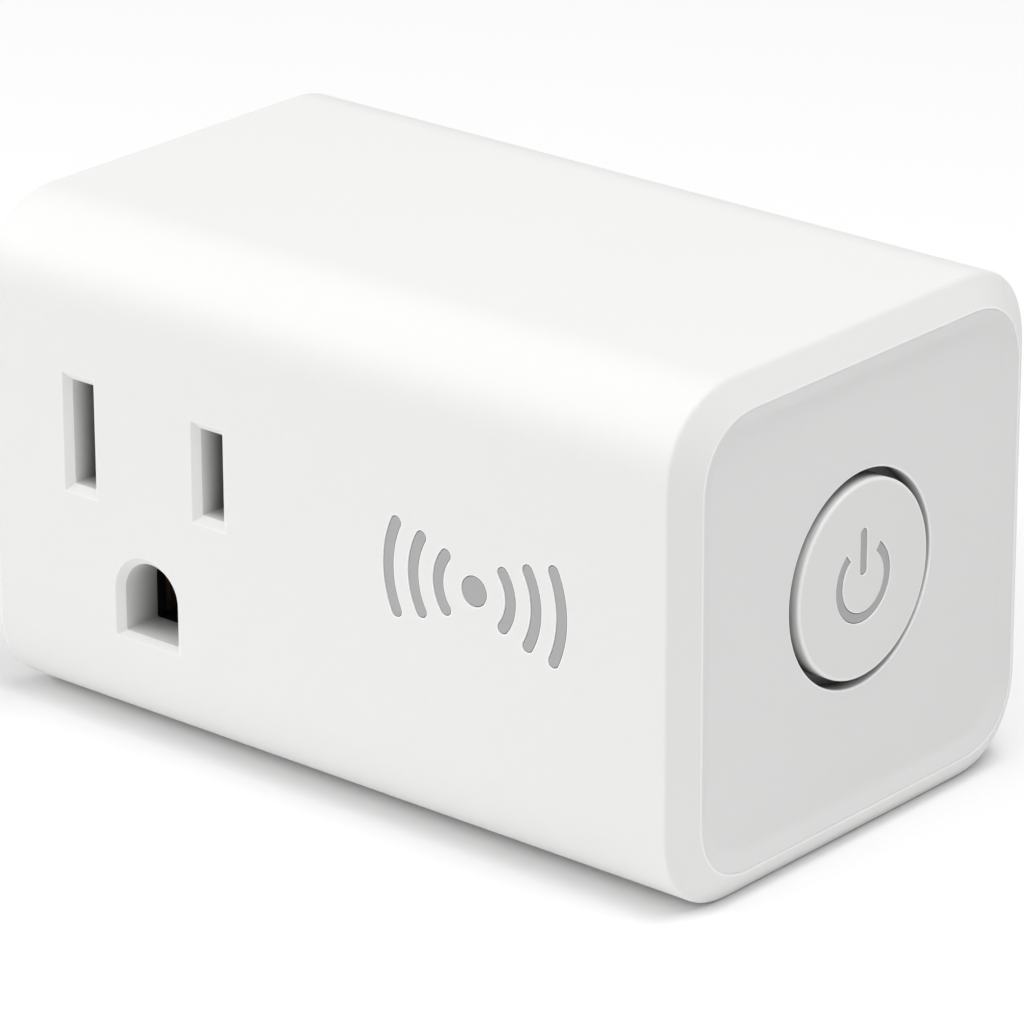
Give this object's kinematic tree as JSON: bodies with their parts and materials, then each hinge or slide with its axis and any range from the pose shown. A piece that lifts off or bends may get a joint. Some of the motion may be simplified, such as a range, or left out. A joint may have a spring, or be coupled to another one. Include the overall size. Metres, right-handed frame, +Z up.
{
  "type": "smart plug",
  "caption": "Small box-shaped mains adapter with a grounded receptacle in front, prongs behind, a round power button on one end, and a relay and wireless board inside.",
  "frame": {"origin": "centre of the flat wall face", "axes": "+X along the body to the button end, +Y out of the wall face along the prongs, +Z up"},
  "size_m": [0.0666, 0.0606, 0.0384],
  "materials": {
    "white_case": "fine moulded texture",
    "white_panel": "smooth satin",
    "white_button": "smooth satin",
    "grey_print": "satin",
    "grey_guide": "translucent satin",
    "nickel_prong": "bright nickel plate",
    "contact_bronze": "dark spring bronze",
    "copper_strap": "bare copper",
    "black_moulding": "moulded",
    "board_green": "solder mask",
    "relay_case": "moulded",
    "relay_moulding": "moulded",
    "relay_steel": "zinc plate",
    "coil_wire": "enamelled copper wire",
    "silver_contact": "silver alloy on bronze",
    "tin_shield": "tinned sheet",
    "led_white": "clear",
    "ferrite": "sintered",
    "winding_tape": "polyester tape",
    "can_sleeve": "shrunk sleeve",
    "film_box": "moulded box",
    "varistor_blue": "dipped",
    "resistor_green": "lacquer",
    "chip_black": "moulded"
  },
  "bodies": {
    "case": {"housing_shell": "white_case", "back_cover": "white_case", "button_end_panel": "white_panel", "plain_end_panel": "white_panel", "front_mark": "grey_print", "tact_switch_body": "black_moulding", "status_leds": "led_white", "control_board": "board_green", "wireless_module": "board_green", "shield_can": "tin_shield", "board_header": "black_moulding", "neutral_blade": "nickel_prong", "hot_blade": "nickel_prong", "ground_pin": "nickel_prong", "blade_carrier": "black_moulding", "neutral_strap": "copper_strap", "ground_strap": "copper_strap", "hot_inlet_strap": "copper_strap", "hot_outlet_strap": "copper_strap", "neutral_contact": "contact_bronze", "hot_contact": "contact_bronze", "ground_contact": "contact_bronze", "contact_carrier": "black_moulding", "main_board": "board_green", "transformer_core": "ferrite", "transformer_winding": "winding_tape", "transformer_base": "black_moulding", "input_capacitor": "can_sleeve", "output_capacitor": "can_sleeve", "film_capacitor": "film_box", "varistor": "varistor_blue", "fuse_resistor": "resistor_green", "rectifier": "chip_black", "converter_chip": "chip_black", "relay_cover": "relay_case", "relay_base": "relay_moulding", "relay_yoke": "relay_steel", "relay_core": "relay_steel", "relay_bobbin": "relay_moulding", "relay_coil": "coil_wire", "relay_fixed_contact": "silver_contact"},
    "button": {"power_button": "white_button", "button_light_guide": "grey_guide"},
    "switch_plunger": {"tact_switch_plunger": "black_moulding"},
    "armature": {"relay_armature": "relay_steel", "relay_moving_contact": "silver_contact"}
  },
  "joints": [
    {"name": "button_press", "type": "slide", "parent": "case", "child": "button", "axis": [-1, 0, 0], "range_m": [0, 0.0003], "stiffness_N_per_m": 2500, "springref_m": -0.0002},
    {"name": "plunger_press", "type": "slide", "parent": "case", "child": "switch_plunger", "axis": [-1, 0, 0], "range_m": [0, 0.0003]},
    {"name": "armature_pull", "type": "hinge", "parent": "case", "child": "armature", "pos_m": [0.0042, -0.02355, 0.00255], "axis": [1, 0, 0], "range_deg": [0, 3], "stiffness_Nm_per_rad": 0.03, "springref_deg": -2.86}
  ],
  "couplings": [
    {"joint": "plunger_press", "follows": "button_press", "ratio": 1}
  ]
}
